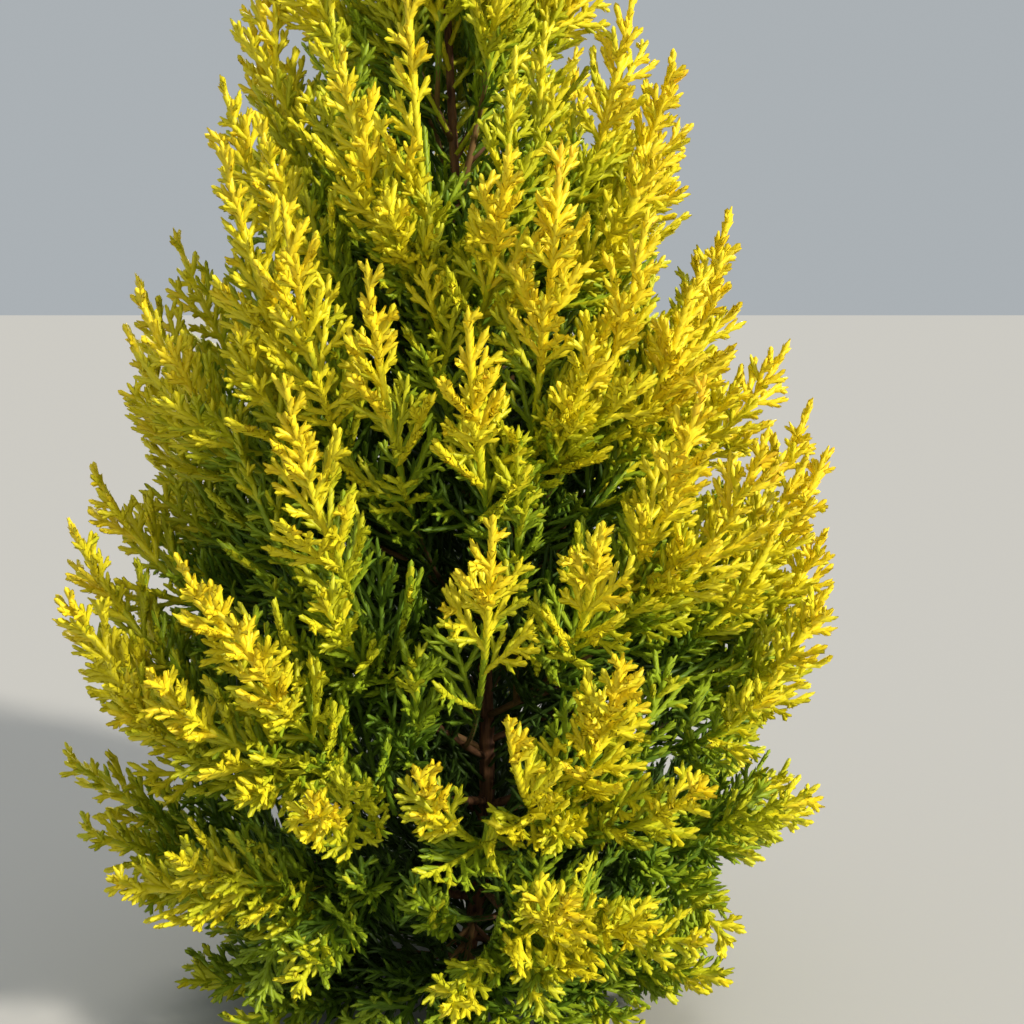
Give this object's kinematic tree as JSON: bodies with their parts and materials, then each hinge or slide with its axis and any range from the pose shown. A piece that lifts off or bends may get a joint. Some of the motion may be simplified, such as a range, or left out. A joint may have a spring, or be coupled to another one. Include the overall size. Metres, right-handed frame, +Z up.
{
  "type": "golden cypress tree",
  "caption": "Young golden cypress with one slim trunk, upswept boughs and feathery plumes of foliage rising to a pointed top, rooted in the ground.",
  "frame": {"origin": "middle of the flat cut under the trunk, at ground level", "axes": "+Z up along the trunk; the picture looks along +Y with +X to its right"},
  "size_m": [0.3826, 0.391, 0.76],
  "materials": {
    "trunk_bark": "matte bark",
    "bough_bark": "matte bark",
    "gold_foliage": "matte",
    "lime_foliage": "matte"
  },
  "bodies": {
    "root": {"trunk": "trunk_bark", "foliage_skirt_1": "lime_foliage", "foliage_skirt_2": "lime_foliage", "foliage_skirt_3": "lime_foliage", "foliage_skirt_4": "lime_foliage", "foliage_skirt_5": "lime_foliage", "foliage_skirt_6": "lime_foliage", "bough_low_1": "bough_bark", "foliage_low_1": "lime_foliage", "bough_low_2": "bough_bark", "foliage_low_2": "lime_foliage", "bough_low_3": "bough_bark", "foliage_low_3": "lime_foliage", "bough_low_4": "bough_bark", "foliage_low_4": "lime_foliage", "bough_low_5": "bough_bark", "foliage_low_5": "lime_foliage", "bough_low_6": "bough_bark", "foliage_low_6": "lime_foliage", "bough_low_7": "bough_bark", "foliage_low_7": "lime_foliage", "bough_wide_1": "bough_bark", "foliage_wide_1": "gold_foliage", "bough_wide_2": "bough_bark", "foliage_wide_2": "gold_foliage", "bough_wide_3": "bough_bark", "foliage_wide_3": "gold_foliage", "bough_wide_4": "bough_bark", "foliage_wide_4": "gold_foliage", "bough_wide_5": "bough_bark", "foliage_wide_5": "gold_foliage", "bough_wide_6": "bough_bark", "foliage_wide_6": "gold_foliage", "bough_wide_7": "bough_bark", "foliage_wide_7": "gold_foliage", "foliage_middle_1": "gold_foliage", "foliage_middle_2": "gold_foliage", "foliage_middle_3": "gold_foliage", "foliage_middle_4": "gold_foliage", "foliage_middle_5": "gold_foliage", "foliage_middle_6": "gold_foliage", "foliage_upper_1": "gold_foliage", "foliage_upper_2": "gold_foliage", "foliage_upper_3": "gold_foliage", "foliage_upper_4": "gold_foliage", "foliage_upper_5": "gold_foliage", "foliage_upper_6": "gold_foliage", "foliage_high_1": "gold_foliage", "foliage_high_2": "gold_foliage", "foliage_high_3": "gold_foliage", "foliage_high_4": "gold_foliage", "foliage_high_5": "gold_foliage", "foliage_neck_1": "gold_foliage", "foliage_neck_2": "gold_foliage", "foliage_neck_3": "gold_foliage", "foliage_neck_4": "gold_foliage", "foliage_crest_1": "gold_foliage", "foliage_crest_2": "gold_foliage", "foliage_crest_3": "gold_foliage", "foliage_leader": "gold_foliage"}
  },
  "joints": []
}
